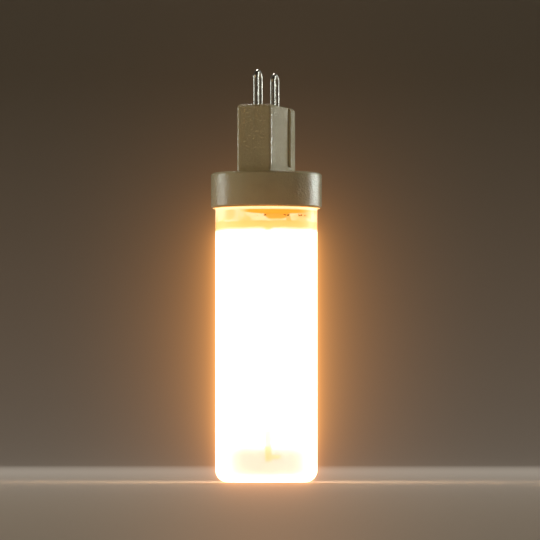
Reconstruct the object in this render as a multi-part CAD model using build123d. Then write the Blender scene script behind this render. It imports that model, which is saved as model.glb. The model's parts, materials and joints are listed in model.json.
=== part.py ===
from build123d import *
import math
import os

# LED capsule bulb for a two-loop push-in holder, in mm. +Z points to the cap, and the closed
# end of the cover stands on z = 0. The tongue is wide along Y and thin along X.

# Frosted cover
cover_d = 16.0
cover_wall = 0.9
cover_corner_r = 1.9
cover_corner_flats = 3  # the round is cut in flats, which keeps its facets few
cover_shown = 42.9  # length that shows below the collar
gate_dimple_d = 3.0
gate_dimple_depth = 0.3
gate_nub_d = 1.2
gate_nub_h = 0.2

# Base housing: collar, skirt and tongue in one moulding
collar_d = 17.4
collar_h = 5.6
collar_roof = 2.0  # plastic above the cover's mouth
collar_top_bevel = 0.3
collar_bevel = 0.35
cover_fit = 0.05  # between cover and collar, all round
skirt_below = 2.8  # reach of the skirt below the collar
skirt_wall = 0.7
glue_gap = 0.2  # between skirt and cover
tongue_w = 13.6
tongue_t = 5.6
tongue_h = 10.5
tongue_edge_r = 0.55
tongue_tip_chamfer = 0.4
rail_w = 2.7
recess_depth = 0.45
recess_foot = 1.1  # height of the full section left above the collar

# Adhesive in the gap between skirt and cover
glue_foot = 0.5  # bare skirt below the glue
glue_scallops = 5
glue_scallop_r = 1.4  # the largest
glue_scallop_vary = 0.5  # how much smaller the least is
glue_scallop_step = 140.0  # degrees of the wave from one scallop to the next

# Contact loops
wire_d = 0.8
loop_pitch = 9.0  # from middle to middle of the two loops
loop_w = 2.9
loop_reach = 5.6  # beyond the tongue
outer_leg_in = 5.0  # depth of the short leg in the tongue
inner_leg_down = 3.4  # reach of the long leg below the floor
hole_fit = 0.04

# Circuit board
board_turn = 19.0  # from the plane of the tongue, so that one long leg lies on each face
board_t = 1.0
board_side_gap = 0.6  # to the cover's bore
board_end_z = 3.2
board_end_r = 1.2
tail_side_gap = 0.4
tail_end_gap = 0.3
shoulder_gap = 0.3
tab_w = 4.4
tab_h = 1.0
tab_fit = 0.05

# Light emitting diodes on both faces
led_rows = 8
led_column_gap = 3.8  # bare board between the two columns
led_l = 3.5
led_w = 2.8
led_h = 0.7
led_rim = 0.3
led_pocket_depth = 0.35
led_pocket_corner = 0.6  # cut off one corner, which marks the cathode
phosphor_dip = 0.05
led_first_gap = 0.5  # first row to the shoulder
led_last_gap = 1.9  # last row to the board's end

# Driver parts on the tail
rectifier_w = 3.8
rectifier_l = 4.6
rectifier_h = 1.4
driver_w = 3.6
driver_l = 4.4
driver_h = 1.3
chip_standoff = 0.1
chip_chamfer = 0.2
lead_w = 0.5
lead_t = 0.2
lead_out = 0.9
melf_d = 1.4
melf_l = 3.4
melf_cap = 0.6
melf_cap_wall = 0.08
cap_l = 3.2
cap_w = 1.6
cap_h = 1.3
resistor_l = 2.0
resistor_w = 1.25
resistor_h = 0.5
end_cap_l = 0.4
end_cap_wall = 0.05
part_gap = 0.4  # from a driver part to the tail's shoulder or edge
resistor_rows = (1, 4, 6)  # rows of diodes that have a resistor between their columns

# Solder and the link wire at the far end
pin_solder_r = 1.1
pin_solder_top_r = 0.65
pin_solder_over = 0.15
pin_solder_drop = 0.9  # middle of the joint above the leg's end
link_wire_d = 0.5
link_reach = 1.35  # from the board's face
link_hook = 0.5
link_hook_cut = 0.3  # the bend is made in two half turns, this far from its corner
link_y = -2.2
link_up = 1.1  # above the board's end
link_solder_r = 0.75
link_solder_top_r = 0.35
link_solder_h = 0.55

# Heights and radii that follow
collar_z = cover_shown
collar_top_z = collar_z + collar_h
groove_z = collar_top_z - collar_roof
cover_r = cover_d / 2
cover_bore_r = cover_r - cover_wall
cover_inner_bevel = (2 - math.sqrt(2)) * (cover_corner_r - cover_wall)  # leaves the wall's thickness
skirt_r = cover_bore_r - glue_gap
skirt_bore_r = skirt_r - skirt_wall
skirt_z = collar_z - skirt_below
tongue_top_z = collar_top_z + tongue_h
shoulder_z = skirt_z - shoulder_gap
tail_top_z = groove_z - tail_end_gap
tail_w = 2 * (skirt_bore_r - tail_side_gap)
board_w = 2 * (cover_bore_r - board_side_gap)
face_x = board_t / 2
led_column_y = (led_w + led_column_gap) / 2
leg_half = (loop_w - wire_d) / 2
inner_leg_y = loop_pitch / 2 - leg_half
outer_leg_y = loop_pitch / 2 + leg_half
inner_leg_z = groove_z - inner_leg_down
outer_leg_z = tongue_top_z - outer_leg_in
bend_z = tongue_top_z + loop_reach - wire_d / 2 - leg_half
tail_mid_z = (shoulder_z + tail_top_z) / 2


def tube(outer_r, inner_r, low, high):
    """Plain ring between two heights."""
    ring = Circle(outer_r) - Circle(inner_r)
    return Pos(0, 0, low) * extrude(ring, high - low)


def upright(radius, low, high, x=0.0, y=0.0):
    """Round bar along Z between two heights."""
    return Pos(x, y, low) * extrude(Circle(radius), high - low)


def block(size_x, size_y, size_z, low):
    """Box about the axis that stands on a height."""
    return Pos(0, 0, low) * extrude(Rectangle(size_x, size_y), size_z)


def on_board(shape):
    """Turns a shape that was drawn with the board's face square to X."""
    return Rot(0, 0, board_turn) * shape


def corner_points():
    """Corners between the flats that touch the round of the cover's closed end, from below up."""
    step = math.pi / 2 / (cover_corner_flats + 1)
    reach = cover_corner_r / math.cos(step / 2)
    middle = cover_r - cover_corner_r
    angles = [(index + 0.5) * step for index in range(cover_corner_flats + 1)]
    return [(middle + reach * math.sin(a), cover_corner_r - reach * math.cos(a)) for a in angles]


def make_cover():
    """Round tube, closed and rounded at the far end, with the moulding gate in a dimple."""
    profile = Polyline((0, 0), *corner_points(), (cover_r, groove_z), (0, groove_z), close=True)
    outside = revolve(Plane.XZ * make_face(profile), Axis.Z)
    inside = upright(cover_bore_r, cover_wall, groove_z)
    inside = chamfer(inside.edges().sort_by(Axis.Z)[0], cover_inner_bevel)
    dimple = upright(gate_dimple_d / 2, 0, gate_dimple_depth)
    nub = upright(gate_nub_d / 2, gate_dimple_depth - gate_nub_h, gate_dimple_depth)
    return outside - inside - dimple + nub


def tongue_section():
    """Rounded bar with a shallow recess in each broad face, so that a rail stays at each edge."""
    bar = block(tongue_t, tongue_w, tongue_h, collar_top_z)
    bar = fillet(bar.edges().filter_by(Axis.Z), tongue_edge_r)
    bar = chamfer(bar.faces().sort_by(Axis.Z)[-1].edges(), tongue_tip_chamfer)
    recess_w = tongue_w - 2 * rail_w
    recess = extrude(Rectangle(2 * recess_depth, recess_w), tongue_h)
    for side in (-1, 1):
        bar = bar - Pos(side * tongue_t / 2, 0, collar_top_z + recess_foot) * recess
    return bar


def make_base():
    """Collar with its groove for the cover, the skirt that goes inside it, and the tongue."""
    collar = upright(collar_d / 2, collar_z, collar_top_z)
    collar = chamfer(collar.edges().sort_by(Axis.Z)[-1], collar_top_bevel)
    collar = chamfer(collar.edges().sort_by(Axis.Z)[0], collar_bevel)
    collar = collar - upright(cover_r + cover_fit, collar_z, groove_z)
    base = collar + tube(skirt_r, skirt_bore_r, skirt_z, groove_z) + tongue_section()
    slot = block(board_t + 2 * tab_fit, tab_w + 2 * tab_fit, tab_h, groove_z)
    base = base - on_board(slot)
    hole_r = wire_d / 2 + hole_fit
    for side in (-1, 1):
        base = base - upright(hole_r, groove_z, tongue_top_z, y=side * inner_leg_y)
        base = base - upright(hole_r, outer_leg_z, tongue_top_z, y=side * outer_leg_y)
    return base


def make_adhesive():
    """Film between skirt and cover, with a scalloped lower edge where it was squeezed out."""
    low = skirt_z + glue_foot
    film = tube(cover_bore_r, skirt_r, low, groove_z)
    for index in range(glue_scallops):
        wave = (1 + math.cos(math.radians(index * glue_scallop_step))) / 2
        reach = glue_scallop_r - glue_scallop_vary * wave
        bite = Pos(skirt_r + glue_gap / 2, 0, low) * (Rot(0, 90, 0) * Cylinder(reach, 3 * glue_gap))
        film = film - Rot(0, 0, 360 * index / glue_scallops) * bite
    return film


def make_loop(side):
    """Round wire bent into a loop: the long leg goes through the tongue, the short one ends in it."""
    inner = side * inner_leg_y
    outer = side * outer_leg_y
    up = Line((0, inner, inner_leg_z), (0, inner, bend_z))
    top = (0, side * loop_pitch / 2, bend_z + leg_half)
    over = ThreePointArc((0, inner, bend_z), top, (0, outer, bend_z))
    down = Line((0, outer, bend_z), (0, outer, outer_leg_z))
    section = Plane(origin=(0, inner, inner_leg_z), z_dir=(0, 0, 1)) * Circle(wire_d / 2)
    return sweep(section, path=Wire([up, over, down]))


def make_board():
    """Wide field for the diodes, a narrower tail inside the skirt and a tab for the slot."""
    field = block(board_t, board_w, shoulder_z - board_end_z, board_end_z)
    corners = field.edges().filter_by(Axis.X)
    field = fillet(corners.group_by(Axis.Z)[0], board_end_r)
    tail = block(board_t, tail_w, tail_top_z - shoulder_z, shoulder_z)
    tab = block(board_t, tab_w, groove_z + tab_h - tail_top_z, tail_top_z)
    hole = Pos(0, link_y, board_end_z + link_up) * (Rot(0, 90, 0) * Cylinder(link_wire_d / 2, board_t))
    return field + tail + tab - hole


def led_places():
    """Middles of the diodes on one face, as (y, z)."""
    low = board_end_z + led_last_gap
    pitch = (shoulder_z - led_first_gap - low) / led_rows
    heights = [low + (row + 0.5) * pitch for row in range(led_rows)]
    return [(side * led_column_y, height) for height in heights for side in (-1, 1)]


def led_pocket(depth):
    """The pocket's space, with its marked corner cut off, from its floor up by a depth."""
    floor = Plane(origin=(led_h - led_pocket_depth, 0, 0), z_dir=(1, 0, 0), x_dir=(0, 1, 0))
    outline = Rectangle(led_w - 2 * led_rim, led_l - 2 * led_rim)
    marked = outline.vertices().sort_by(lambda corner: corner.X + corner.Y)[-1]
    return extrude(floor * chamfer(marked, led_pocket_corner), depth)


def make_led_frame():
    """White carrier with a pocket, seated on x = 0 and open towards +X."""
    body = Pos(led_h / 2, 0, 0) * Box(led_h, led_w, led_l)
    return body - led_pocket(led_pocket_depth)


def make_phosphor():
    """Yellow fill of one pocket, a little below its rim."""
    return led_pocket(led_pocket_depth - phosphor_dip)


def spread(piece, turn):
    """Copies of one diode part over a face, turned 0 for the front and 180 for the back."""
    spots = [Pos(face_x, y, z) * piece for y, z in led_places()]
    return [on_board(Rot(0, 0, turn) * spot) for spot in spots]


def chip_body(width, length, height):
    """Moulded package above the board, with its upper edges drafted off."""
    body = Pos(face_x + chip_standoff + height / 2, 0, 0) * Box(height, width, length)
    return chamfer(body.faces().sort_by(Axis.X)[-1].edges(), chip_chamfer)


def chip_leads(width, length, height, rows):
    """Bent strips from the package's sides down to the board."""
    edge = width / 2
    top = face_x + chip_standoff + height / 2
    foot = Pos(face_x + lead_t / 2, edge + lead_out / 2, 0) * Box(lead_t, lead_out, lead_w)
    riser = Pos((face_x + top) / 2, edge + lead_t / 2, 0) * Box(top - face_x, lead_t, lead_w)
    one = foot + riser
    pitch = length / rows
    heights = [(row - (rows - 1) / 2) * pitch for row in range(rows)]
    pair = [one, Rot(180, 0, 0) * one]
    return [Pos(0, 0, height) * lead for height in heights for lead in pair]


def place(shapes, y, z, turn=0):
    """Puts parts drawn at the middle of a face at their place on the turned board."""
    return [on_board(Rot(0, 0, turn) * (Pos(0, y, z) * shape)) for shape in shapes]


def two_ended(length, width, height, cap, wall):
    """Chip part lying along Y: the body, and the two metal ends that wrap it."""
    middle = Pos(face_x + height / 2, 0, 0)
    body = middle * Box(height - 2 * wall, length - 2 * wall, width - 2 * wall)
    ends = []
    for side in (-1, 1):
        end = middle * (Pos(0, side * (length - cap) / 2, 0) * Box(height, cap, width))
        ends.append(end - body)
    return body, ends


def make_melf():
    """Round fusible resistor lying along Y: the body, and its two pressed caps."""
    middle = Pos(face_x + melf_d / 2, 0, 0)
    lie = Rot(90, 0, 0)
    body = middle * lie * Cylinder(melf_d / 2 - melf_cap_wall, melf_l - 2 * melf_cap)
    ends = []
    for side in (-1, 1):
        end = Pos(0, side * (melf_l - melf_cap) / 2, 0) * lie * Cylinder(melf_d / 2, melf_cap)
        ends.append(middle * end)
    return body, ends


def make_pin_solder(side, loop):
    """Cone of solder that ties one long leg to the face of the board that it lies on."""
    turn = math.radians(board_turn)
    leg_x = inner_leg_y * math.sin(turn)
    height = leg_x + wire_d / 2 + pin_solder_over - face_x
    cone = Rot(0, 90, 0) * Cone(pin_solder_r, pin_solder_top_r, height)
    spot = Pos(face_x + height / 2, inner_leg_y * math.cos(turn), inner_leg_z + pin_solder_drop)
    lump = on_board(Rot(0, 0, 0 if side > 0 else 180) * (spot * cone))
    return lump - loop


def make_link():
    """Short wire through the board near its end, hooked over on one face, and its two cones of solder."""
    z = board_end_z + link_up
    tip = face_x + link_reach
    start = (-face_x - link_solder_h, link_y, z)
    bend = [(tip - link_hook_cut, link_y, z), (tip, link_y, z + link_hook_cut)]
    route = Polyline(start, *bend, (tip, link_y, z + link_hook))
    section = Plane(origin=start, z_dir=(1, 0, 0)) * Circle(link_wire_d / 2)
    wire = sweep(section, path=route, transition=Transition.RIGHT)
    cones = []
    for side in (-1, 1):
        flare = Rot(0, 90 * side, 0) * Cone(link_solder_r, link_solder_top_r, link_solder_h)
        cones.append(Pos(side * (face_x + link_solder_h / 2), link_y, z) * flare - wire)
    return on_board(wire), [on_board(cone) for cone in cones]


loops = {"left": make_loop(-1), "right": make_loop(1)}
link_wire, link_solder = make_link()
cap_body, cap_ends = two_ended(cap_l, cap_w, cap_h, end_cap_l, end_cap_wall)
resistor_body, resistor_ends = two_ended(resistor_l, resistor_w, resistor_h, end_cap_l, end_cap_wall)
melf_body, melf_ends = make_melf()

pin_y = inner_leg_y * math.cos(math.radians(board_turn))
low_part_z = shoulder_z + cap_w / 2 + part_gap
chip_y = rectifier_w / 2 + lead_out + part_gap - tail_w / 2
resistor_places = [(0, led_places()[2 * row][1], turn) for row in resistor_rows for turn in (0, 180)]

nodes = {
    "cover_tube": [make_cover()],
    "base_housing": [make_base()],
    "adhesive_bead": [make_adhesive()],
    "contact_loop_left": [loops["left"]],
    "contact_loop_right": [loops["right"]],
    "led_board": [on_board(make_board())],
    "led_frames_front": spread(make_led_frame(), 0),
    "led_frames_back": spread(make_led_frame(), 180),
    "led_phosphor_front": spread(make_phosphor(), 0),
    "led_phosphor_back": spread(make_phosphor(), 180),
    "bridge_rectifier": place([chip_body(rectifier_w, rectifier_l, rectifier_h)], chip_y, tail_mid_z),
    "rectifier_leads": place(chip_leads(rectifier_w, rectifier_l, rectifier_h, 2), chip_y, tail_mid_z),
    "driver_chip": place([chip_body(driver_w, driver_l, driver_h)], chip_y, tail_mid_z, 180),
    "driver_leads": place(chip_leads(driver_w, driver_l, driver_h, 4), chip_y, tail_mid_z, 180),
    "ceramic_capacitor": place([cap_body], pin_y, low_part_z),
    "capacitor_ends": place(cap_ends, pin_y, low_part_z),
    "fusible_resistor": place([melf_body], pin_y, low_part_z, 180),
    "fusible_resistor_caps": place(melf_ends, pin_y, low_part_z, 180),
    "sense_resistors": [place([resistor_body], *spot)[0] for spot in resistor_places],
    "sense_resistor_ends": [end for spot in resistor_places for end in place(resistor_ends, *spot)],
    "pin_solder_left": [make_pin_solder(-1, loops["left"])],
    "pin_solder_right": [make_pin_solder(1, loops["right"])],
    "link_wire": [link_wire],
    "link_solder": link_solder,
}

os.makedirs("parts", exist_ok=True)
for name, solids in nodes.items():
    shape = solids[0] if len(solids) == 1 else Compound(children=solids)
    export_step(shape, f"parts/{name}.step")
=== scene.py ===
import itertools
import json
import math

import bmesh
import bpy
from mathutils import Matrix, Vector, noise


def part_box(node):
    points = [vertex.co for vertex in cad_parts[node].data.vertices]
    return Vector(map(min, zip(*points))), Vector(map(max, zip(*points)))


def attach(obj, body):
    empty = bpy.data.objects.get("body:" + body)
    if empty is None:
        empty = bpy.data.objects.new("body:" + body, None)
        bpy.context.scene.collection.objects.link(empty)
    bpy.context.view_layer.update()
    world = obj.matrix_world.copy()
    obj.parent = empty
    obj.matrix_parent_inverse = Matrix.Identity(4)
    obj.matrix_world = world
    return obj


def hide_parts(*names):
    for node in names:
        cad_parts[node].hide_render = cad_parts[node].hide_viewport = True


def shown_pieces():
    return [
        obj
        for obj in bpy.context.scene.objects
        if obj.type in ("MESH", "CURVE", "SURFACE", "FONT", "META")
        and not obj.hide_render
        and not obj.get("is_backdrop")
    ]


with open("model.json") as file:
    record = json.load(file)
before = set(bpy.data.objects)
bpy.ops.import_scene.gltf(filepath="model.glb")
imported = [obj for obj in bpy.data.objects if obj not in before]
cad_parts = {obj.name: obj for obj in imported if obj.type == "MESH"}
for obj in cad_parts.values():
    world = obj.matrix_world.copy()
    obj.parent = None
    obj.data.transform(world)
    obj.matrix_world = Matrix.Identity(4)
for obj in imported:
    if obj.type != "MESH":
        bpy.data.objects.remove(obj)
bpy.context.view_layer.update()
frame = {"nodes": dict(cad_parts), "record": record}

print("frame loaded:", len(frame["nodes"]), "nodes")

mm = 0.001
weldDistance = 1e-7
noLight = (0, 0, 0, 1)
boardTurn = 19.0  # degrees from the tongue's plane to the board's
collarFoot = 42.9  # heights of the collar's foot and top, in mm
collarTop = 48.5

# Sizes in the dictionaries are in mm unless a note says otherwise. A pair of them is where a mask
# is still empty, and where it is full. A bump is its depth and strength, and a noise is its scale,
# detail and roughness.


# Small helpers for meshes

def linkMesh(name, bm, material):
    mesh = bpy.data.meshes.new(name)
    bm.to_mesh(mesh)
    bm.free()
    mesh.materials.append(material)
    for polygon in mesh.polygons:
        polygon.use_smooth = True
    made = bpy.data.objects.new(name, mesh)
    bpy.context.scene.collection.objects.link(made)
    return made


def newPiece(name, bm, material, smoothAngle=40):
    bmesh.ops.recalc_face_normals(bm, faces=bm.faces)
    bm.normal_update()
    piece = linkMesh(name, bm, material)
    piece.data.set_sharp_from_angle(angle=math.radians(smoothAngle))
    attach(piece, "root")
    return piece


def lathe(bm, profile, segments):
    # Turns (radius, height) points about the axis; a radius of 0 closes to a point
    rings = []
    for radius, height in profile:
        if radius < weldDistance:
            rings.append([bm.verts.new((0, 0, height))])
            continue
        ring = []
        for step in range(segments):
            angle = math.tau * step / segments
            ring.append(bm.verts.new((radius * math.cos(angle), radius * math.sin(angle), height)))
        rings.append(ring)
    for lower, upper in zip(rings, rings[1:]):
        for step in range(segments):
            following = (step + 1) % segments
            corners = [lower[step % len(lower)], lower[following % len(lower)],
                       upper[following % len(upper)], upper[step % len(upper)]]
            unique = list(dict.fromkeys(corners))
            if len(unique) > 2:
                bm.faces.new(unique)
    return rings


def arcPoints(centreR, centreZ, radius, startDeg, endDeg, steps):
    points = []
    for step in range(steps + 1):
        angle = math.radians(startDeg + (endDeg - startDeg) * step / steps)
        points.append((centreR + radius * math.cos(angle), centreZ + radius * math.sin(angle)))
    return points


def joinEnds(bm, first, second):
    # A bar between two outlines with as many points each
    for step in range(len(first)):
        following = (step + 1) % len(first)
        bm.faces.new((first[step], first[following], second[following], second[step]))
    bm.faces.new(first)
    bm.faces.new(second)


# Small helpers for materials

def addNode(tree, kind, **settings):
    node = tree.nodes.new(kind)
    for key, value in settings.items():
        setattr(node, key, value)
    return node


def newMaterial(name):
    material = bpy.data.materials.new(name)
    material.use_nodes = True
    tree = material.node_tree
    tree.nodes.clear()
    output = addNode(tree, "ShaderNodeOutputMaterial")
    shader = addNode(tree, "ShaderNodeBsdfPrincipled")
    tree.links.new(shader.outputs["BSDF"], output.inputs["Surface"])
    return material, tree, shader.inputs


nodeSpacing = (-220, -240)


def layOut(tree):
    # Each node goes a column to the left of all that it feeds
    columns = {node.name: 0 for node in tree.nodes}
    moved = True
    while moved:
        moved = False
        for link in tree.links:
            wanted = columns[link.to_node.name] + 1
            if columns[link.from_node.name] < wanted:
                columns[link.from_node.name] = wanted
                moved = True
    filled = {}
    for node in tree.nodes:
        column = columns[node.name]
        row = filled.get(column, 0)
        node.location = (nodeSpacing[0] * column, nodeSpacing[1] * row)
        filled[column] = row + 1


def feed(tree, target, source):
    # A source is another socket or a plain value
    if isinstance(source, bpy.types.NodeSocket):
        tree.links.new(source, target)
    else:
        target.default_value = source


def calc(tree, operation, first, second=None, third=None, clamp=False):
    node = addNode(tree, "ShaderNodeMath", operation=operation, use_clamp=clamp)
    for socket, source in zip(node.inputs, (first, second, third)):
        if source is not None:
            feed(tree, socket, source)
    return node.outputs[0]


def times(tree, first, *others):
    for other in others:
        first = calc(tree, "MULTIPLY", first, other)
    return first


def plusTimes(tree, base, value, factor):
    return calc(tree, "MULTIPLY_ADD", value, factor, base)


def awayFrom(tree, value, middle):
    return calc(tree, "ABSOLUTE", calc(tree, "SUBTRACT", value, middle))


def fromAxis(tree, first, second):
    squares = [calc(tree, "POWER", value, 2.0) for value in (first, second)]
    return calc(tree, "SQRT", calc(tree, "ADD", *squares))


def between(tree, value, span):
    # 0 up to the span's first number, 1 from its second, smooth between
    node = addNode(tree, "ShaderNodeMapRange", interpolation_type="SMOOTHSTEP")
    feed(tree, node.inputs["Value"], value)
    feed(tree, node.inputs["From Min"], span[0])
    feed(tree, node.inputs["From Max"], span[1])
    return node.outputs["Result"]


def mixColour(tree, factor, first, second):
    node = addNode(tree, "ShaderNodeMix", data_type="RGBA")
    feed(tree, node.inputs["Factor"], factor)
    feed(tree, node.inputs[6], first)  # the colours' own sockets, which share their names with others
    feed(tree, node.inputs[7], second)
    return node.outputs[2]


def objectPoint(tree):
    return addNode(tree, "ShaderNodeTexCoord").outputs["Object"]


def splitPoint(tree, point):
    parts = addNode(tree, "ShaderNodeSeparateXYZ")
    feed(tree, parts.inputs["Vector"], point)
    return parts.outputs["X"], parts.outputs["Y"], parts.outputs["Z"]


def noiseAt(tree, point, scale, detail, rough):
    node = addNode(tree, "ShaderNodeTexNoise")
    feed(tree, node.inputs["Vector"], point)
    feed(tree, node.inputs["Scale"], scale)
    feed(tree, node.inputs["Detail"], detail)
    feed(tree, node.inputs["Roughness"], rough)
    return node.outputs["Fac"]


def cellsAt(tree, point, scale):
    node = addNode(tree, "ShaderNodeTexVoronoi")
    feed(tree, node.inputs["Vector"], point)
    feed(tree, node.inputs["Scale"], scale)
    return node.outputs["Distance"]


def bumpInto(tree, shader, height, depth, strength):
    bump = addNode(tree, "ShaderNodeBump")
    bump.inputs["Distance"].default_value = depth * mm
    bump.inputs["Strength"].default_value = strength
    feed(tree, bump.inputs["Height"], height)
    tree.links.new(bump.outputs["Normal"], shader["Normal"])


# Effects that several materials share

def newGroup(name, numbers, results):
    # Takes a point, and numbers with their usual values
    tree = bpy.data.node_groups.new(name, "ShaderNodeTree")
    tree.interface.new_socket(name="Point", in_out="INPUT", socket_type="NodeSocketVector")
    for label, value in numbers.items():
        socket = tree.interface.new_socket(name=label, in_out="INPUT", socket_type="NodeSocketFloat")
        socket.default_value = value
    for label in results:
        tree.interface.new_socket(name=label, in_out="OUTPUT", socket_type="NodeSocketFloat")
    return tree, addNode(tree, "NodeGroupInput").outputs, addNode(tree, "NodeGroupOutput").inputs


def useGroup(tree, group, point, numbers):
    node = addNode(tree, "ShaderNodeGroup", node_tree=group)
    feed(tree, node.inputs["Point"], point)
    for label, value in numbers.items():
        feed(tree, node.inputs[label], value)
    return node.outputs


grainLook = {
    "usual": {"Wave Scale": 900.0, "Pit Scale": 3800.0, "Pits": 0.4},
    "waves": (2.0, 0.45),
    "pits": (3.0, 0.6),
    "pitEdge": (0.62, 0.74),
    "cloud": (170.0, 3.0, 0.55),
    "cloudEdge": (0.3, 0.7),
}


def makeMouldedGrain():
    # Slow waves of a moulded skin, fine pits in it, and the tone that goes with them
    look = grainLook
    tree, given, result = newGroup("mouldedGrain", look["usual"], ("Height", "Pit Mask", "Tone"))
    waves = noiseAt(tree, given["Point"], given["Wave Scale"], *look["waves"])
    fine = noiseAt(tree, given["Point"], given["Pit Scale"], *look["pits"])
    pits = between(tree, fine, look["pitEdge"])
    cloud = noiseAt(tree, given["Point"], *look["cloud"])
    feed(tree, result["Height"], calc(tree, "SUBTRACT", waves, times(tree, pits, given["Pits"])))
    feed(tree, result["Pit Mask"], pits)
    feed(tree, result["Tone"], between(tree, cloud, look["cloudEdge"]))
    layOut(tree)
    return tree


drawnLook = {
    "usual": {"Across Scale": 9000.0, "Stretch": 0.04},
    "streaks": (2.0, 0.6),
    "patches": (650.0, 4.0, 0.6),
    "patchEdge": (0.4, 0.7),
}


def makeDrawnMetal():
    # Streaks along Z left by the drawing die, and dull patches
    look = drawnLook
    tree, given, result = newGroup("drawnMetal", look["usual"], ("Height", "Dullness"))
    squeeze = addNode(tree, "ShaderNodeCombineXYZ")
    for axis, source in zip("XYZ", (1.0, 1.0, given["Stretch"])):
        feed(tree, squeeze.inputs[axis], source)
    drawn = addNode(tree, "ShaderNodeVectorMath", operation="MULTIPLY")
    feed(tree, drawn.inputs[0], given["Point"])
    feed(tree, drawn.inputs[1], squeeze.outputs["Vector"])
    streaks = noiseAt(tree, drawn.outputs["Vector"], given["Across Scale"], *look["streaks"])
    patches = noiseAt(tree, given["Point"], *look["patches"])
    feed(tree, result["Height"], streaks)
    feed(tree, result["Dullness"], between(tree, patches, look["patchEdge"]))
    layOut(tree)
    return tree


dustLook = {
    "usual": {"Speck Scale": 1500.0, "Amount": 0.3},
    "speckEdge": (0.05, 0.16),
    "places": (420.0, 2.0, 0.5),  # specks lie only here and there
    "placeEdge": (0.52, 0.62),
    "smears": (210.0, 5.0, 0.65),
    "smearEdge": (0.5, 0.8),
    "smearShare": 0.35,
}


def makeHandlingDust():
    # Specks and faint smears that lie on a part that has been handled
    look = dustLook
    tree, given, result = newGroup("handlingDust", look["usual"], ("Mask",))
    cells = cellsAt(tree, given["Point"], given["Speck Scale"])
    specks = calc(tree, "SUBTRACT", 1.0, between(tree, cells, look["speckEdge"]))
    places = between(tree, noiseAt(tree, given["Point"], *look["places"]), look["placeEdge"])
    smears = between(tree, noiseAt(tree, given["Point"], *look["smears"]), look["smearEdge"])
    both = plusTimes(tree, times(tree, smears, look["smearShare"]), specks, places)
    feed(tree, result["Mask"], calc(tree, "MULTIPLY", both, given["Amount"], clamp=True))
    layOut(tree)
    return tree


mouldedGrain = makeMouldedGrain()
drawnMetal = makeDrawnMetal()
handlingDust = makeHandlingDust()


# Frosted cover

coverLook = {
    "skin": (0.96, 0.93, 0.88, 1),
    "dusty": (0.72, 0.66, 0.55, 1),
    "roughness": 0.42,
    "rougher": 0.08,
    "transmission": 0.25,
    "ior": 1.49,
    "bump": (0.02, 0.4),
    "grain": {"Wave Scale": 700.0, "Pit Scale": 6500.0, "Pits": 0.25},
    "dust": {"Speck Scale": 1900.0, "Amount": 0.25},
    "strength": 3.2,
    "glow": (1.0, 0.64, 0.36, 1),  # along the diodes
    "paleGlow": (0.6, 0.32, 0.335, 1),  # just bright enough to look white, round the dimmed parts
    "paleShares": (0.0, 0.3),  # shares of a dim mask that bring in the pale glow, then the dim one
    "dimShares": (0.1, 1.0),
    "slowWave": (160.0, 2.0, 0.5),  # noises that make the dim parts' edges wavy
    "slowBy": 1.1,  # how far each moves an edge
    "quickWave": (520.0, 3.0, 0.55),
    "quickBy": 0.5,
    # painted shade where the cover sits in the collar's groove
    "groove": {"depth": 0.4, "glow": (0.03, 0.012, 0.001, 1), "skin": (0.9, 0.8, 0.6, 1)},
    "outerRadius": (7.3, 7.5),
    "closedEnd": (0.75, 0.6),
}


def coverPlaces(tree, point):
    # Where a point lies, in mm: across the board's faces, along its width, and up
    look = coverLook
    turn = math.radians(boardTurn)
    x, y, z = splitPoint(tree, point)
    across = plusTimes(tree, times(tree, x, math.cos(turn) / mm), y, math.sin(turn) / mm)
    along = plusTimes(tree, times(tree, x, -math.sin(turn) / mm), y, math.cos(turn) / mm)
    up = times(tree, z, 1 / mm)
    slow = noiseAt(tree, point, *look["slowWave"])
    quick = noiseAt(tree, point, *look["quickWave"])
    wobble = plusTimes(tree, times(tree, calc(tree, "SUBTRACT", quick, 0.5), look["quickBy"]),
                       calc(tree, "SUBTRACT", slow, 0.5), look["slowBy"])
    return {"point": point, "across": across, "along": along, "z": up, "quick": quick, "wobble": wobble,
            "wavyZ": calc(tree, "ADD", up, wobble), "offEdge": calc(tree, "ABSOLUTE", across)}


def dimmed(tree, mask, glow, dimGlow, share=None):
    # Paints shade into a glow by a mask, by way of the pale glow, which keeps the mask's edge free of
    # yellow
    glow = mixColour(tree, between(tree, mask, coverLook["paleShares"]), glow, coverLook["paleGlow"])
    dim = between(tree, mask, coverLook["dimShares"])
    if share is not None:
        dim = times(tree, dim, share)
    return mixColour(tree, dim, glow, dimGlow)


# Painted shade: a dim patch in the cover's glow near the closed end, below the last diodes, a little
# paler on one side of the board
endShadeLook = {
    "glow": (0.32, 0.121, 0.112, 1),
    "foot": (0.35, 2.1),
    "top": (6.1, 3.9),
    "sides": (8.0, 3.2),
    "power": 0.45,
    "palerSide": (0.5, 2.5),
    "palerBy": 0.04,
}


def paintEndShade(tree, places, glow):
    # Paints the dim patch of shade into the cover's glow
    look = endShadeLook
    patch = times(tree, between(tree, places["z"], look["foot"]),
                  between(tree, places["wavyZ"], look["top"]),
                  between(tree, places["offEdge"], look["sides"]))
    patch = calc(tree, "POWER", patch, look["power"])
    share = plusTimes(tree, 1.0, between(tree, places["across"], look["palerSide"]), -look["palerBy"])
    return dimmed(tree, patch, glow, look["glow"], share)


# Painted shadows in the cover's glow: of the board's edge, a slim stem where no diode shines, and of the
# link wire that leaves it
stemShadowLook = {
    "glow": (0.32, 0.115, 0.018, 1),
    "sides": (0.56, 0.42),
    "foot": (3.0, 3.5),
    "top": (8.3, 7.8),
    "share": 0.55,
    "darker": (5.8, 5.4),
    "darkerBy": 0.22,
    "wireZ": 3.95,
    "wireHalf": (0.4, 0.2),
    "wireStart": (0.3, 0.5),
    "wireEnd": (2.2, 1.7),
    "wireSide": (0.0, 0.2),
    "wireShare": 0.75,
}


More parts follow.
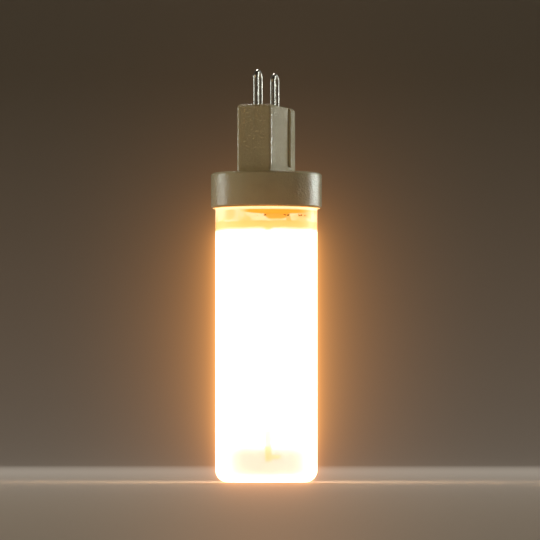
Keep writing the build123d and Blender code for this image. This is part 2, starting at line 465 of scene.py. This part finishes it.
def paintStemShadow(tree, places, glow):
    # Paints the shadow of the board's edge and of the link wire into the cover's glow
    look = stemShadowLook
    z, across, offEdge = places["z"], places["across"], places["offEdge"]
    stem = times(tree, between(tree, offEdge, look["sides"]), between(tree, z, look["foot"]),
                 between(tree, z, look["top"]))
    share = plusTimes(tree, look["share"], between(tree, z, look["darker"]), look["darkerBy"])
    wire = times(tree, between(tree, awayFrom(tree, z, look["wireZ"]), look["wireHalf"]),
                 between(tree, offEdge, look["wireStart"]), between(tree, across, look["wireEnd"]),
                 between(tree, across, look["wireSide"]))
    both = calc(tree, "MAXIMUM", times(tree, stem, share), times(tree, wire, look["wireShare"]))
    return mixColour(tree, both, glow, look["glow"])


# Painted shade of the skirt and of the glue in the cover's glow, in a band in front of the skirt, with a
# painted line of light from the lip; the band's skin colours are painted warm light over a little
# yellowed glue
bandShadeLook = {
    "bare": {"glow": (0.27, 0.115, 0.025, 1), "skin": (0.96, 0.82, 0.58, 1)},  # painted shade of the skirt, no glue on the wall
    "smear": {"glow": (0.27, 0.182, 0.095, 1), "skin": (0.96, 0.90, 0.74, 1)},  # painted shade where glue wets the wall
    "amber": {"glow": (0.22, 0.08, 0.005, 1), "skin": (0.96, 0.76, 0.34, 1)},  # painted deeper shade under thick glue
    "deep": {"glow": (0.26, 0.085, 0.006, 1), "skin": (0.95, 0.68, 0.14, 1)},  # painted deep shade under the collar
    # painted shadows of bubbles
    "bubble": {"glow": (0.02, 0.018, 0.0, 1), "skin": (0.42, 0.33, 0.11, 1)},
    "lipLine": {"glow": (0.27, 0.19, 0.12, 1), "skin": (0.96, 0.94, 0.86, 1)},  # lit by the lip
    "foot": (39.25, 40.05),
    "footWobble": 0.3,
    "power": 0.33,
    "notch": (0.9, 0.1),  # each face's light ends in an arch, with a notch before the board's edge
    "notchBy": 0.24,
    "arch": (6.6, 8.0),
    "archBy": 0.12,
    "lipFoot": (42.5, 42.62),
}

# Painted shadows of the glue in the cover's glow: a wet film, pools, a drip, a run and a deep band
glueShadowMarks = {
    "wetFoot": (40.6, 40.9),
    "wetNoise": (210.0, 3.0, 0.55),
    "wetEdge": (0.36, 0.52),
    "poolFoot": (40.8, 41.3),
    "poolNoise": (95.0, 2.0, 0.5),
    "poolEdge": (0.47, 0.55),
    "poolShare": 0.6,
    "dripAt": 1.3,  # painted shadow of a wide drip across the front and the back
    "dripPower": 4.0,
    "dripRise": 0.06,
    "dripWobble": 0.8,
    "dripFoot": (40.75, 41.15),
    "runAt": 3.2,  # painted shadow of a thin run beside it, which leans a little
    "runZ": 41.0,
    "runLean": 0.25,
    "runHalf": (0.5, 0.25),
    "runFoot": (40.45, 40.8),
    "runShare": 0.7,
    "deepRise": 0.0004,
    "deepWobble": 0.6,
    "deepFoot": (41.72, 41.95),
    "deepEndsWobble": 1.6,
    "deepStart": (-4.6, -3.0),
    "deepEnd": (7.4, 4.4),
}

bubbleShadowLook = {
    "scale": 1900.0,
    "wobble": 0.3,
    "rowFoot": (41.42, 41.5),
    "rowTop": (41.82, 41.74),
    "rowStart": (-2.2, -1.4),
    "rowEnd": (6.6, 5.4),
    "sizes": (0.35, 0.65),
    "sizeBy": 0.2,
    "edge": (0.34, 0.2),
}


def glueShadowMasks(tree, places):
    # Masks for the glue's painted shadows
    look = glueShadowMarks
    point, across, z = places["point"], places["across"], places["z"]
    wobble, wavyZ = places["wobble"], places["wavyZ"]
    wet = times(tree, between(tree, wavyZ, look["wetFoot"]),
                between(tree, noiseAt(tree, point, *look["wetNoise"]), look["wetEdge"]))
    pool = times(tree, between(tree, noiseAt(tree, point, *look["poolNoise"]), look["poolEdge"]),
                 between(tree, wavyZ, look["poolFoot"]))
    offDrip = calc(tree, "POWER", awayFrom(tree, across, look["dripAt"]), look["dripPower"])
    dripZ = plusTimes(tree, plusTimes(tree, z, wobble, look["dripWobble"]), offDrip, -look["dripRise"])
    runAt = plusTimes(tree, look["runAt"] + look["runLean"] * look["runZ"], z, -look["runLean"])
    run = times(tree, between(tree, awayFrom(tree, across, runAt), look["runHalf"]),
                between(tree, wavyZ, look["runFoot"]))
    thick = calc(tree, "MAXIMUM", times(tree, pool, look["poolShare"]),
                 times(tree, run, look["runShare"]))
    thick = calc(tree, "MAXIMUM", thick, between(tree, dripZ, look["dripFoot"]))
    wavyAcross = plusTimes(tree, across, wobble, look["deepEndsWobble"])
    deepZ = plusTimes(tree, plusTimes(tree, z, wobble, look["deepWobble"]), offDrip, -look["deepRise"])
    deep = times(tree, between(tree, deepZ, look["deepFoot"]),
                 between(tree, wavyAcross, look["deepStart"]),
                 between(tree, wavyAcross, look["deepEnd"]))
    return wet, thick, deep


def bubbleShadowMask(tree, places):
    # Painted shadows of bubbles caught in a row along the glue's edge
    look = bubbleShadowLook
    rowZ = plusTimes(tree, places["z"], places["wobble"], look["wobble"])
    sizes = times(tree, between(tree, places["quick"], look["sizes"]), look["sizeBy"])
    cells = calc(tree, "SUBTRACT", cellsAt(tree, places["point"], look["scale"]), sizes)
    return times(tree, between(tree, cells, look["edge"]), between(tree, rowZ, look["rowFoot"]),
                 between(tree, rowZ, look["rowTop"]), between(tree, places["across"], look["rowStart"]),
                 between(tree, places["across"], look["rowEnd"]))


def bandShadeLayers(tree, places):
    # The band's painted-shade mask, and its glow and skin, with each painted shadow and the lip's
    # painted light laid over the last
    look = bandShadeLook
    arches = plusTimes(tree, times(tree, between(tree, places["offEdge"], look["arch"]), look["archBy"]),
                       between(tree, places["offEdge"], look["notch"]), look["notchBy"])
    footZ = plusTimes(tree, places["z"], places["wobble"], look["footWobble"])
    inBandShade = between(tree, calc(tree, "ADD", footZ, arches), look["foot"])
    wet, thick, deep = glueShadowMasks(tree, places)
    layers = [(wet, "smear"), (thick, "amber"), (deep, "deep"), (bubbleShadowMask(tree, places), "bubble"),
              (between(tree, places["z"], look["lipFoot"]), "lipLine")]
    glow, skin = look["bare"]["glow"], look["bare"]["skin"]
    for mask, name in layers:
        glow = mixColour(tree, mask, glow, look[name]["glow"])
        skin = mixColour(tree, mask, skin, look[name]["skin"])
    return inBandShade, glow, skin


def makeFrostedCover():
    look = coverLook
    material, tree, shader = newMaterial("frostedCover")
    point = objectPoint(tree)
    places = coverPlaces(tree, point)
    dust = useGroup(tree, handlingDust, point, look["dust"])
    grain = useGroup(tree, mouldedGrain, point, look["grain"])
    inBandShade, bandShadeGlow, bandWarmLightSkin = bandShadeLayers(tree, places)
    # Painted shade where the cover sits in the collar's groove: almost no glow, and a warmer skin
    groove = look["groove"]
    inGrooveShade = between(tree, places["z"], (collarFoot, collarFoot + groove["depth"]))

    # Painted shade in the glow: the dim end, the board's edge and wire, and the band
    glow = paintStemShadow(tree, places, paintEndShade(tree, places, look["glow"]))
    glow = dimmed(tree, calc(tree, "POWER", inBandShade, bandShadeLook["power"]), glow, bandShadeGlow)
    glow = mixColour(tree, inGrooveShade, glow, groove["glow"])
    # Only the outer skin glows; the bore is lit by the diodes
    radius = fromAxis(tree, places["across"], places["along"])
    outside = calc(tree, "MAXIMUM", between(tree, radius, look["outerRadius"]),
                   between(tree, places["z"], look["closedEnd"]))
    feed(tree, shader["Emission Color"], mixColour(tree, outside, noLight, glow))
    shader["Emission Strength"].default_value = look["strength"]

    skin = mixColour(tree, dust["Mask"], look["skin"], look["dusty"])
    # Painted warm light in the band's skin colour, over a little yellowed glue
    skin = mixColour(tree, inBandShade, skin, bandWarmLightSkin)
    feed(tree, shader["Base Color"], mixColour(tree, inGrooveShade, skin, groove["skin"]))
    feed(tree, shader["Roughness"], plusTimes(tree, look["roughness"], grain["Tone"], look["rougher"]))
    shader["Transmission Weight"].default_value = look["transmission"]
    shader["IOR"].default_value = look["ior"]
    bumpInto(tree, shader, grain["Height"], *look["bump"])
    layOut(tree)
    return material


coverShape = {
    "wall": 0.9,
    "corner": 1.9,  # outer radius between the tube and its closed end
    "dimpleR": 1.5,
    "dimpleH": 0.3,
    "nubR": 0.6,
    "nubH": 0.2,
    "soft": 0.05,  # edges
    "cornerSteps": 18,
    "boreSteps": 10,
    "rows": 24,
    "segments": 160,
}


def makeCoverTube(material):
    # Profile from the dimple's nub, round the corner, up the outside and down the bore
    shape = coverShape
    outerR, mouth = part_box("cover_tube")[1].xz
    wall, corner, soft = (shape[name] * mm for name in ("wall", "corner", "soft"))
    dimpleR, dimpleH, nubR, nubH = (shape[name] * mm for name in ("dimpleR", "dimpleH", "nubR", "nubH"))
    inner = corner - wall
    rows = shape["rows"]
    profile = [(0, dimpleH - nubH), (nubR - soft, dimpleH - nubH), (nubR, dimpleH - nubH + soft)]
    profile += [(nubR, dimpleH), (dimpleR - soft, dimpleH), (dimpleR, dimpleH - soft)]
    profile += [(dimpleR, soft), (dimpleR + soft, 0)]
    profile += arcPoints(outerR - corner, corner, corner, -90, 0, shape["cornerSteps"])
    profile += [(outerR, corner + (mouth - corner) * step / rows) for step in range(1, rows)]
    profile += [(outerR, mouth - soft), (outerR - soft, mouth)]
    profile += [(outerR - wall + soft, mouth), (outerR - wall, mouth - soft)]
    profile += arcPoints(outerR - corner, corner, inner, 0, -90, shape["boreSteps"])
    profile += [(0, wall)]
    bm = bmesh.new()
    lathe(bm, profile, shape["segments"])
    piece = newPiece("coverShell", bm, material)
    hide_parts("cover_tube")


# Collar, skirt and tongue

housingLook = {
    "cream": (0.76, 0.68, 0.46, 1),
    "warmer": (0.70, 0.58, 0.35, 1),
    "warmShare": 0.5,
    "dusty": (0.42, 0.34, 0.22, 1),
    "roughness": 0.14,
    "pitRougher": 0.2,
    "dustRougher": 0.3,
    "scatter": 0.15,
    "scatterRadius": (1.0, 0.6, 0.3),
    "scatterDepth": 0.6,
    "ior": 1.57,
    "specular": 0.7,
    "bump": (0.2, 0.5),
    "grain": {"Wave Scale": 3000.0, "Pit Scale": 6400.0, "Pits": 0.35},
    "dust": {"Speck Scale": 1700.0, "Amount": 0.5},
    "leak": (0.02, 0.006, 0.0, 1),  # light that comes through the collar's wall
    "lipGlow": (1.0, 0.52, 0.16, 1),  # light that the thin lip lets through
    # painted shade, tinted orange, on the bevel under the lip
    "lipShadeSkin": (0.62, 0.38, 0.12, 1),
    "strength": 1.2,
    "beyondCover": (7.95, 8.0),  # radius
    "bevel": (0.38, 0.28),  # heights above the collar's foot
    "lip": (0.14, 0.04),
    "side": (5.6, 0.3),
    "sideRadius": (8.3, 8.5),
}


def makeBasePlastic():
    look = housingLook
    material, tree, shader = newMaterial("basePlastic")
    point = objectPoint(tree)
    grain = useGroup(tree, mouldedGrain, point, look["grain"])
    dust = useGroup(tree, handlingDust, point, look["dust"])
    x, y, z = splitPoint(tree, point)
    height = plusTimes(tree, -collarFoot, z, 1 / mm)
    radius = times(tree, fromAxis(tree, x, y), 1 / mm)
    beyondCover = between(tree, radius, look["beyondCover"])

    tone = mixColour(tree, times(tree, grain["Tone"], look["warmShare"]), look["cream"], look["warmer"])
    tone = mixColour(tree, dust["Mask"], tone, look["dusty"])
    # Painted shade: the bevel above the collar's foot gets a darker orange skin
    onBevelShade = times(tree, between(tree, height, look["bevel"]), beyondCover)
    feed(tree, shader["Base Color"], mixColour(tree, onBevelShade, tone, look["lipShadeSkin"]))
    rough = plusTimes(tree, look["roughness"], grain["Pit Mask"], look["pitRougher"])
    feed(tree, shader["Roughness"], plusTimes(tree, rough, dust["Mask"], look["dustRougher"]))
    shader["Subsurface Weight"].default_value = look["scatter"]
    shader["Subsurface Radius"].default_value = look["scatterRadius"]
    shader["Subsurface Scale"].default_value = look["scatterDepth"] * mm
    shader["IOR"].default_value = look["ior"]
    shader["Specular IOR Level"].default_value = look["specular"]

    onLip = times(tree, between(tree, height, look["lip"]), beyondCover)
    onSide = times(tree, between(tree, height, look["side"]), between(tree, radius, look["sideRadius"]))
    leak = mixColour(tree, onSide, noLight, look["leak"])
    feed(tree, shader["Emission Color"], mixColour(tree, onLip, leak, look["lipGlow"]))
    shader["Emission Strength"].default_value = look["strength"]
    bumpInto(tree, shader, grain["Height"], *look["bump"])
    layOut(tree)
    return material


softLook = {
    "steps": 2,
    "sharpFrom": 30,  # degrees between faces
    "flatWithin": 0.5,
    "smoothBelow": 35,
}


def softened(nodeName, pieceName, material, edge, wanted=None):
    # A copy of a node's solid with its sharp edges rounded
    look = softLook
    bm = bmesh.new()
    bm.from_mesh(frame["nodes"][nodeName].data)
    bmesh.ops.remove_doubles(bm, verts=bm.verts, dist=weldDistance)
    bmesh.ops.dissolve_limit(bm, angle_limit=math.radians(look["flatWithin"]), verts=bm.verts,
                             edges=bm.edges)
    rounded = []
    for corner in bm.edges:
        if corner.is_manifold and corner.calc_face_angle() > math.radians(look["sharpFrom"]):
            if wanted is None or wanted((corner.verts[0].co + corner.verts[1].co) / 2 / mm):
                rounded.append(corner)
    bmesh.ops.bevel(bm, geom=rounded, offset=edge * mm, segments=look["steps"], profile=0.5,
                    affect="EDGES", clamp_overlap=False)
    piece = newPiece(pieceName, bm, material, look["smoothBelow"])
    weighted = piece.modifiers.new("flatFaces", "WEIGHTED_NORMAL")
    weighted.keep_sharp = True
    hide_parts(nodeName)


mouldingLook = {
    "edge": 0.07,  # what the tool's worn edges round off
    "lowest": 42.85,  # sharp below this, and inside this radius up to the roof
    "roof": 48.0,
    "sideR": 8.2,
    "wireX": 0.9,  # sharp round the wires' holes too
    "wireY": 6.3,
    "wireZ": 57.0,
}


def isOutside(point):
    # The moulding's outer edges, away from the groove and from the wires' holes
    look = mouldingLook
    betweenWires = abs(point.x) < look["wireX"] and abs(point.y) < look["wireY"]
    atHoles = betweenWires and point.z > look["wireZ"]
    offGroove = point.z > look["roof"] or point.xy.length > look["sideR"]
    return point.z > look["lowest"] and offGroove and not atHoles


def makeHousingMoulding(material):
    softened("base_housing", "housingMoulding", material, mouldingLook["edge"],
             isOutside)


markLook = {
    "ringX": 5.4,  # rings of the ejector pins on the collar's top face
    "ringR": 0.85,
    "ringWide": 0.07,
    "ringHigh": 0.035,
    "ringSlope": 0.01,
    "ringSides": 48,
    "seamY": 6.8,  # parting line up the tongue's narrow sides
    "seamWide": 0.08,
    "seamHigh": 0.03,
    "seamEnd": 0.45,  # how far below the tongue's top it ends
    "sunk": 0.02,  # how far both reach into the moulding
}


def makeMouldMarks(material):
    look = markLook
    bm = bmesh.new()
    inner, outer = look["ringR"] - look["ringWide"], look["ringR"]
    slope, high, sunk = look["ringSlope"], look["ringHigh"], -look["sunk"]
    ringProfile = [(inner, sunk), (inner + slope, high), (outer - slope, high), (outer, sunk),
                   (inner, sunk)]
    for side in (-1, 1):
        profile = [(r * mm, (collarTop + h) * mm) for r, h in ringProfile]
        for ring in lathe(bm, profile, look["ringSides"]):
            for vert in ring:
                vert.co += Vector((side * look["ringX"], 0, 0)) * mm
    bmesh.ops.remove_doubles(bm, verts=bm.verts, dist=weldDistance)
    half = look["seamWide"] / 2
    seamProfile = [(-half, sunk), (0, look["seamHigh"]), (half, sunk)]
    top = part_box("base_housing")[1].z - look["seamEnd"] * mm
    for side in (-1, 1):
        ends = []
        for z in ((collarTop + sunk) * mm, top):
            ends.append([bm.verts.new((x * mm, side * (look["seamY"] + y) * mm, z))
                         for x, y in seamProfile])
        joinEnds(bm, *ends)
    newPiece("mouldMarks", bm, material, smoothAngle=30)


# Glue between the skirt and the cover

glueShape = {
    "innerR": 6.92,
    "outerR": 7.08,
    "low": 40.72,
    "high": 46.35,
    "rollHigh": 1.2,  # height of the rolled foot, as a share of the film's half thickness
    "rollSteps": 4,
    "rows": 14,
    "segments": 240,
    "footLift": 0.55,  # mean height of the foot above low
    "footWaves": [(1.7, (3.1, 0, 0), 0.55), (6.0, (0, 5.2, 0), 0.2)],  # scale, shift and height
}


def glueFoot(angle):
    spot = Vector((math.cos(angle), math.sin(angle), 0))
    height = glueShape["footLift"]
    for scale, shift, wave in glueShape["footWaves"]:
        height += wave * noise.noise(spot * scale + Vector(shift))
    return glueShape["low"] + max(0.0, height)


def makeGlueBead(material):
    # A thin film that rolls to a bead at its wavy foot
    shape = glueShape
    middle = (shape["innerR"] + shape["outerR"]) / 2
    half = (shape["outerR"] - shape["innerR"]) / 2
    roll = half * shape["rollHigh"]
    rolled = []
    for step in range(shape["rollSteps"]):
        turn = math.pi / 2 * step / shape["rollSteps"]
        rolled.append((half * math.sin(turn), roll * (1 - math.cos(turn))))
    bm = bmesh.new()
    columns = []
    for index in range(shape["segments"]):
        angle = math.tau * index / shape["segments"]
        foot = glueFoot(angle)
        tall = shape["high"] - foot - roll
        outline = [(out, foot + up) for out, up in rolled]
        for step in range(shape["rows"]):
            outline.append((half, foot + roll + step / (shape["rows"] - 1) * tall))
        path = [(middle + out, z) for out, z in outline]
        path += [(middle - out, z) for out, z in reversed(outline[1:])]
        columns.append([bm.verts.new((r * math.cos(angle) * mm, r * math.sin(angle) * mm, z * mm))
                        for r, z in path])
    for column, other in zip(columns, columns[1:] + columns[:1]):
        for step in range(len(column)):
            following = (step + 1) % len(column)
            bm.faces.new((column[step], other[step], other[following], column[following]))
    piece = newPiece("glueBead", bm, material, smoothAngle=60)
    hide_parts("adhesive_bead")


adhesiveLook = {
    "clear": (0.95, 0.90, 0.78, 1),
    "yellowed": (0.90, 0.80, 0.58, 1),
    "roughness": 0.12,
    "pitRougher": 0.3,
    "transmission": 0.85,
    "ior": 1.41,
    "bump": (0.06, 0.6),
    "grain": {"Wave Scale": 800.0, "Pit Scale": 2600.0, "Pits": 0.8},
}


def makeClearGlue():
    look = adhesiveLook
    material, tree, shader = newMaterial("clearGlue")
    grain = useGroup(tree, mouldedGrain, objectPoint(tree), look["grain"])
    feed(tree, shader["Base Color"], mixColour(tree, grain["Tone"], look["clear"], look["yellowed"]))
    feed(tree, shader["Roughness"],
         plusTimes(tree, look["roughness"], grain["Pit Mask"], look["pitRougher"]))
    shader["Transmission Weight"].default_value = look["transmission"]
    shader["IOR"].default_value = look["ior"]
    bumpInto(tree, shader, grain["Height"], *look["bump"])
    layOut(tree)
    return material


# Bodies of the small parts, and the diodes' solder

bodyLook = [  # node, piece, slot, and the edge that its mould, saw or press leaves
    ("led_frames_front", "diodeFramesFront", "led_carrier", 0.04),
    ("led_frames_back", "diodeFramesBack", "led_carrier", 0.04),
    ("bridge_rectifier", "rectifierBody", "chip_black", 0.08),
    ("driver_chip", "driverBody", "chip_black", 0.08),
    ("ceramic_capacitor", "capacitorBody", "capacitor_tan", 0.06),
    ("sense_resistors", "senseBodies", "chip_black", 0.03),
]


def makeSmallBodies():
    for nodeName, pieceName, slotName, edge in bodyLook:
        softened(nodeName, pieceName, finishes[slotName], edge)


diodeLook = {
    "boardHalf": 0.5,  # half the board's thickness
    "rows": 8,
    "lowRow": 7.2375,  # middle of the lowest row
    "pitch": 4.275,
    "column": 3.3,
    "halfLength": 1.75,
    "width": 2.1,
    # Solder fillet at a diode's end: reach from the body, and height above the board
    "fillet": [(-0.02, 0.0), (0.30, 0.0), (0.29, 0.035), (0.17, 0.075), (0.08, 0.16), (0.025, 0.28),
               (-0.02, 0.36)],
}


def makeDiodeSolder(material):
    # A concave fillet of solder at both ends of every diode, on both faces of the board
    look = diodeLook
    turn = Matrix.Rotation(math.radians(boardTurn), 4, "Z")
    bm = bmesh.new()
    for face, row, column, end in itertools.product((-1, 1), range(look["rows"]), (-1, 1), (-1, 1)):
        z = look["lowRow"] + look["pitch"] * row + end * look["halfLength"]
        outlines = []
        for side in (-0.5, 0.5):
            y = column * look["column"] + side * look["width"]
            points = [(face * (look["boardHalf"] + high), y, z + end * reach)
                      for reach, high in look["fillet"]]
            outlines.append([bm.verts.new(turn @ (Vector(point) * mm)) for point in points])
        joinEnds(bm, *outlines)
    newPiece("diodeSolder", bm, material, smoothAngle=50)


# Finishes of the contact loops, leads and solder, by slot

metalLook = {
    "contact_wire": {
        "name": "contactWire", "bright": (0.66, 0.63, 0.57, 1), "dull": (0.48, 0.45, 0.40, 1),
        "roughness": 0.2, "acrossScale": 9000.0, "stretch": 0.02, "depth": 0.004},
    "tinned_lead": {
        "name": "tinnedLead", "bright": (0.72, 0.71, 0.68, 1), "dull": (0.55, 0.54, 0.52, 1),
        "roughness": 0.3, "acrossScale": 5000.0, "stretch": 0.3, "depth": 0.01},
    "solder": {
        "name": "solderGrey", "bright": (0.70, 0.70, 0.68, 1), "dull": (0.46, 0.46, 0.45, 1),
        "roughness": 0.24, "acrossScale": 2200.0, "stretch": 1.0, "depth": 0.04},
}
dullRougher = 0.22  # what a dull patch adds to the roughness
fineBump = 0.4  # strength of every small part's bump


def makeMetal(look):
    material, tree, shader = newMaterial(look["name"])
    numbers = {"Across Scale": look["acrossScale"], "Stretch": look["stretch"]}
    drawn = useGroup(tree, drawnMetal, objectPoint(tree), numbers)
    feed(tree, shader["Base Color"], mixColour(tree, drawn["Dullness"], look["bright"], look["dull"]))
    feed(tree, shader["Roughness"], plusTimes(tree, look["roughness"], drawn["Dullness"], dullRougher))
    shader["Metallic"].default_value = 1.0
    bumpInto(tree, shader, drawn["Height"], look["depth"], fineBump)
    layOut(tree)
    return material


# Moulded, fired and printed skins of the small parts, by slot

plainLook = {
    "board_white": {
        "name": "boardWhite", "base": (0.88, 0.87, 0.83, 1), "second": (0.82, 0.80, 0.74, 1),
        "roughness": 0.36, "scale": 1800.0, "depth": 0.02},
    "led_carrier": {
        "name": "diodeCarrier", "base": (0.86, 0.84, 0.78, 1), "second": (0.80, 0.77, 0.68, 1),
        "roughness": 0.45, "scale": 3000.0, "depth": 0.01},
    "led_phosphor": {
        "name": "diodePhosphor", "base": (0.92, 0.72, 0.22, 1), "second": (0.85, 0.60, 0.15, 1),
        "roughness": 0.4, "scale": 3000.0, "depth": 0.01,
        "light": (1.0, 0.62, 0.26, 1), "strength": 3.0},
    "chip_black": {
        "name": "chipBlack", "base": (0.018, 0.018, 0.019, 1), "second": (0.035, 0.034, 0.033, 1),
        "roughness": 0.5, "scale": 6000.0, "depth": 0.02},
    "capacitor_tan": {
        "name": "capacitorTan", "base": (0.50, 0.33, 0.18, 1), "second": (0.42, 0.27, 0.14, 1),
        "roughness": 0.38, "scale": 4000.0, "depth": 0.01},
    "resistor_body": {
        "name": "resistorBody", "base": (0.32, 0.50, 0.45, 1), "second": (0.24, 0.40, 0.36, 1),
        "roughness": 0.3, "scale": 4500.0, "depth": 0.01},
}
plainPits = {"perWave": 4, "share": 0.4, "rougher": 0.25}


def makePlain(look):
    material, tree, shader = newMaterial(look["name"])
    numbers = {"Wave Scale": look["scale"], "Pit Scale": look["scale"] * plainPits["perWave"],
               "Pits": plainPits["share"]}
    grain = useGroup(tree, mouldedGrain, objectPoint(tree), numbers)
    feed(tree, shader["Base Color"], mixColour(tree, grain["Tone"], look["base"], look["second"]))
    feed(tree, shader["Roughness"],
         plusTimes(tree, look["roughness"], grain["Pit Mask"], plainPits["rougher"]))
    bumpInto(tree, shader, grain["Height"], look["depth"], fineBump)
    if "light" in look:
        shader["Emission Color"].default_value = look["light"]
        shader["Emission Strength"].default_value = look["strength"]
    layOut(tree)
    return material


finishes = {"frosted_cover": makeFrostedCover(), "base_plastic": makeBasePlastic(),
            "clear_adhesive": makeClearGlue()}
for slotName, look in metalLook.items():
    finishes[slotName] = makeMetal(look)
for slotName, look in plainLook.items():
    finishes[slotName] = makePlain(look)

for part in frame["record"]["subparts"]:
    node = frame["nodes"][part["node"]]
    node.data.materials.clear()
    node.data.materials.append(finishes[part["material_slot"]])
print("finishes on the carried-over nodes")

makeCoverTube(finishes["frosted_cover"])
print("cover done")
makeHousingMoulding(finishes["base_plastic"])
makeMouldMarks(finishes["base_plastic"])
makeGlueBead(finishes["clear_adhesive"])
print("housing and glue done")
makeSmallBodies()
makeDiodeSolder(finishes["solder"])
print("small parts done")


# Floor, light and camera. Sizes here are in metres

floorLook = {
    "pale": (0.68, 0.64, 0.58, 1),
    "darker": (0.56, 0.53, 0.49, 1),
    "darkShare": 0.15,
    "cloud": (6.0, 3.0, 0.5),
    "roughness": 0.85,
    "rings": (0, 0.05, 0.3, 0.9),
    "curveR": 0.5,
    "curveSteps": 16,
    "wallTop": 1.6,
    "segments": 96,
}

lampLook = {
    "sideLeft": {"angle": 109, "distance": 0.5, "height": 0.12, "size": (0.105, 0.24), "watts": 0.50,
                 "colour": (0.92, 1.0, 0.96), "aimZ": 0.045, "sparesFloor": True},
    "sideRight": {"angle": -122, "distance": 0.5, "height": 0.12, "size": (0.05, 0.24), "watts": 0.90,
                  "colour": (0.92, 1.0, 0.96), "aimZ": 0.045, "sparesFloor": True},
    "front": {"angle": 38, "distance": 0.7, "height": 0.40, "size": (0.20, 0.20), "watts": 0.44,
              "colour": (1.0, 0.74, 0.36), "aimZ": 0.05, "sparesFloor": False},
    "overhead": {"angle": 180, "distance": 0.5, "height": 0.7, "size": (0.3, 0.3), "watts": 2.4,
                 "colour": (1.0, 0.96, 0.9), "aimZ": 0, "sparesFloor": False},
}

roomLook = {"sky": (0.9, 0.76, 0.56, 1), "strength": 0.035}

cameraLook = {
    "azimuth": 17.0,
    "distance": 0.8,
    "height": 0.005,
    "aimZ": 0.0333,
    "aside": 0.00057,
    "viewWidth": 0.0848,
    "sensor": 36,
    "clipStart": 0.01,
}


def makeFloor():
    look = floorLook
    material, tree, shader = newMaterial("paleFloor")
    cloud = noiseAt(tree, objectPoint(tree), *look["cloud"])
    feed(tree, shader["Base Color"],
         mixColour(tree, times(tree, cloud, look["darkShare"]), look["pale"], look["darker"]))
    shader["Roughness"].default_value = look["roughness"]
    layOut(tree)
    flatR, curveR = look["rings"][-1], look["curveR"]
    profile = [(radius, 0) for radius in look["rings"]]
    profile += arcPoints(flatR, curveR, curveR, -90, 0, look["curveSteps"])[1:]
    profile += [(flatR + curveR, look["wallTop"])]
    bm = bmesh.new()
    lathe(bm, profile, look["segments"])
    floor = linkMesh("floorSweep", bm, material)
    floor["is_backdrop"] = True
    return floor


def aimAt(thing, target):
    thing.rotation_euler = (Vector(target) - thing.location).to_track_quat("-Z", "Y").to_euler()


def cameraSide(angle):
    # Unit vector at an angle from the camera's side of the object, positive to the picture's left
    turn = math.radians(cameraLook["azimuth"] - angle)
    return Vector((math.sin(turn), -math.cos(turn), 0))


def makeLamp(name, look):
    data = bpy.data.lights.new(name, "AREA")
    data.shape = "RECTANGLE"
    data.size, data.size_y = look["size"]
    data.energy = look["watts"]
    data.color = look["colour"]
    lamp = bpy.data.objects.new(name, data)
    lamp.location = cameraSide(look["angle"]) * look["distance"] + Vector((0, 0, look["height"]))
    bpy.context.scene.collection.objects.link(lamp)
    aimAt(lamp, (0, 0, look["aimZ"]))
    return lamp


def spareFloor(lamp, floor):
    # The low side lamps stand so near the floor that they would burn a stripe on it
    spared = bpy.data.collections.new(lamp.name + "Spares")
    spared.objects.link(floor)
    spared.collection_objects[0].light_linking.link_state = "EXCLUDE"
    lamp.light_linking.receiver_collection = spared


def makeLights(floor):
    for name, look in lampLook.items():
        lamp = makeLamp(name, look)
        if look["sparesFloor"]:
            spareFloor(lamp, floor)
    world = bpy.data.worlds.new("room")
    bpy.context.scene.world = world
    world.use_nodes = True
    sky = world.node_tree.nodes["Background"]
    sky.inputs["Color"].default_value = roomLook["sky"]
    sky.inputs["Strength"].default_value = roomLook["strength"]


def makeCamera():
    look = cameraLook
    turn = math.radians(look["azimuth"])
    aside = Vector((math.cos(turn), math.sin(turn), 0)) * look["aside"]
    data = bpy.data.cameras.new("camera")
    data.sensor_width = look["sensor"]
    data.lens = look["sensor"] * look["distance"] / look["viewWidth"]
    data.clip_start = look["clipStart"]
    camera = bpy.data.objects.new("camera", data)
    camera.location = cameraSide(0) * look["distance"] + aside + Vector((0, 0, look["height"]))
    bpy.context.scene.collection.objects.link(camera)
    aimAt(camera, aside + Vector((0, 0, look["aimZ"])))
    bpy.context.scene.camera = camera


haloLook = {
    "bloom": {"Threshold": 1.0, "Strength": 0.8, "Size": 0.75, "Tint": (1.0, 0.6, 0.22, 1)},
    "onObject": 0.03,  # share of the halo that veils the object itself
}


def makeHalo():
    # The bloom that so bright a tube leaves round itself, kept off the part's own surfaces
    scene = bpy.context.scene
    bpy.context.view_layer.use_pass_cryptomatte_object = True
    scene.use_nodes = True
    tree = scene.node_tree
    tree.nodes.clear()
    rendered = addNode(tree, "CompositorNodeRLayers").outputs["Image"]
    glare = addNode(tree, "CompositorNodeGlare", glare_type="BLOOM", quality="HIGH")
    feed(tree, glare.inputs["Image"], rendered)
    for label, value in haloLook["bloom"].items():
        feed(tree, glare.inputs[label], value)
    mask = addNode(tree, "CompositorNodeCryptomatteV2", source="RENDER", scene=scene)
    mask.matte_id = ",".join(sorted(piece.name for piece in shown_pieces()))
    share = addNode(tree, "CompositorNodeMath", operation="MULTIPLY_ADD")
    halo = addNode(tree, "CompositorNodeMixRGB", blend_type="MULTIPLY")
    both = addNode(tree, "CompositorNodeMixRGB", blend_type="ADD")
    picture = addNode(tree, "CompositorNodeComposite")
    for socket, source in zip(share.inputs, (mask.outputs["Matte"], haloLook["onObject"] - 1, 1)):
        feed(tree, socket, source)
    feed(tree, halo.inputs[1], glare.outputs["Glare"])
    feed(tree, halo.inputs[2], share.outputs[0])
    feed(tree, both.inputs[1], rendered)
    feed(tree, both.inputs[2], halo.outputs[0])
    feed(tree, picture.inputs["Image"], both.outputs[0])
    layOut(tree)


makeLights(makeFloor())
makeCamera()
makeHalo()
bpy.context.scene.view_settings.view_transform = "Standard"
print("stage done")
